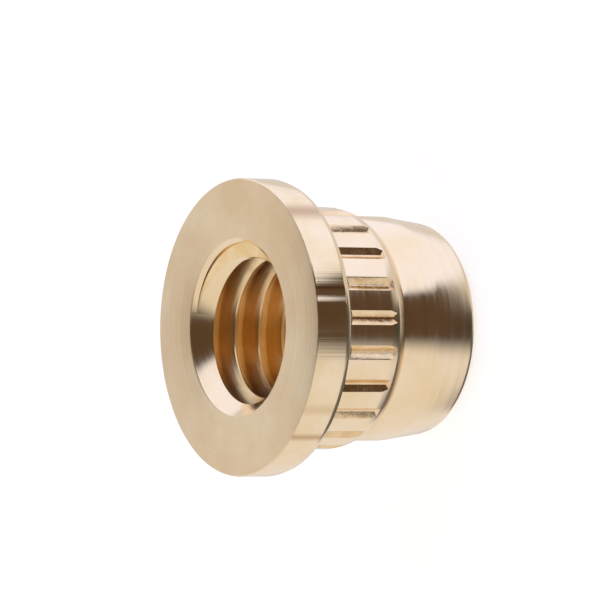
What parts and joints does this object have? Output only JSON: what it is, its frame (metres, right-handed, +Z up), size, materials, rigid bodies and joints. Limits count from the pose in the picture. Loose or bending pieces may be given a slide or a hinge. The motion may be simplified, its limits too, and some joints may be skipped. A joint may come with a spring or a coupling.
{
  "type": "threaded insert",
  "caption": "Brass press-in insert with a tapped through hole, a flange, a grooved grip band, a smooth pilot and a tapered nose.",
  "frame": {"origin": "centre of the flange's seating face, on the axis of the hole", "axes": "+Z runs up the hole, from the nose to the flange, the way the screw leaves; +X passes through the middle of one groove in the grip band"},
  "size_m": [0.0104, 0.0104, 0.0077],
  "materials": {
    "turned_brass": "bright turned brass with fine tool rings, uncoated"
  },
  "bodies": {
    "root": {"insert": "turned_brass"}
  },
  "joints": []
}
